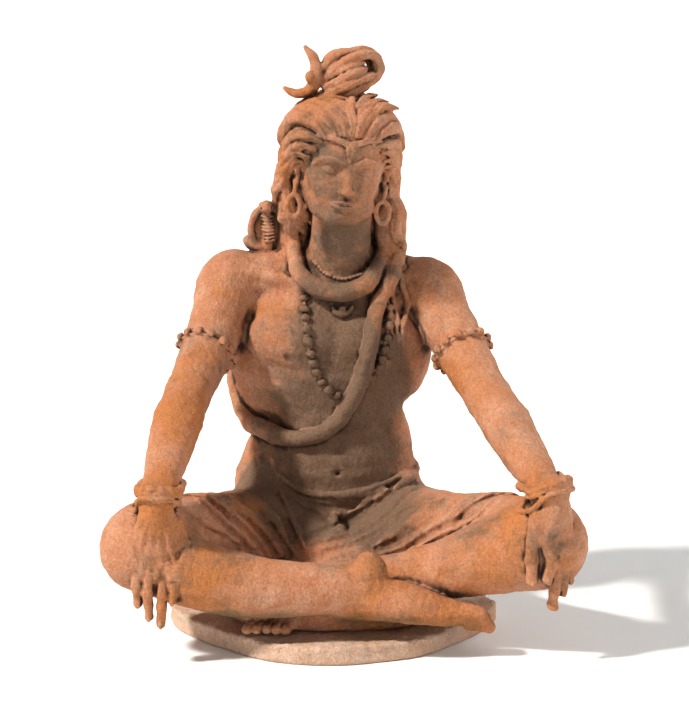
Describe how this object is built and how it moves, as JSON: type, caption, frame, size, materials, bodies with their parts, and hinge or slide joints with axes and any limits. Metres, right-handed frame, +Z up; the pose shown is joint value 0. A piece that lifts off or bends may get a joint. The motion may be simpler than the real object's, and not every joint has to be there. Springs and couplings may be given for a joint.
{
  "type": "seated shiva figure",
  "caption": "Fired-clay Shiva seated cross-legged, hands over the knees, cobra round the neck, topknot with crescent, on a low oval base.",
  "frame": {"origin": "under the middle of the whole width and depth, at the base's underside", "axes": "+Z up, the figure faces -Y, +X towards the figure's left hand"},
  "size_m": [0.8347, 0.5716, 1.0383],
  "materials": {
    "terracotta": "unglazed fired clay, orange-brown and rough, with grey-brown dust on the upper faces",
    "pale_clay": "unglazed fired clay, paler and pinker than the figure, rough and weathered"
  },
  "bodies": {
    "root": {"figure": "terracotta", "base": "pale_clay"}
  },
  "joints": []
}
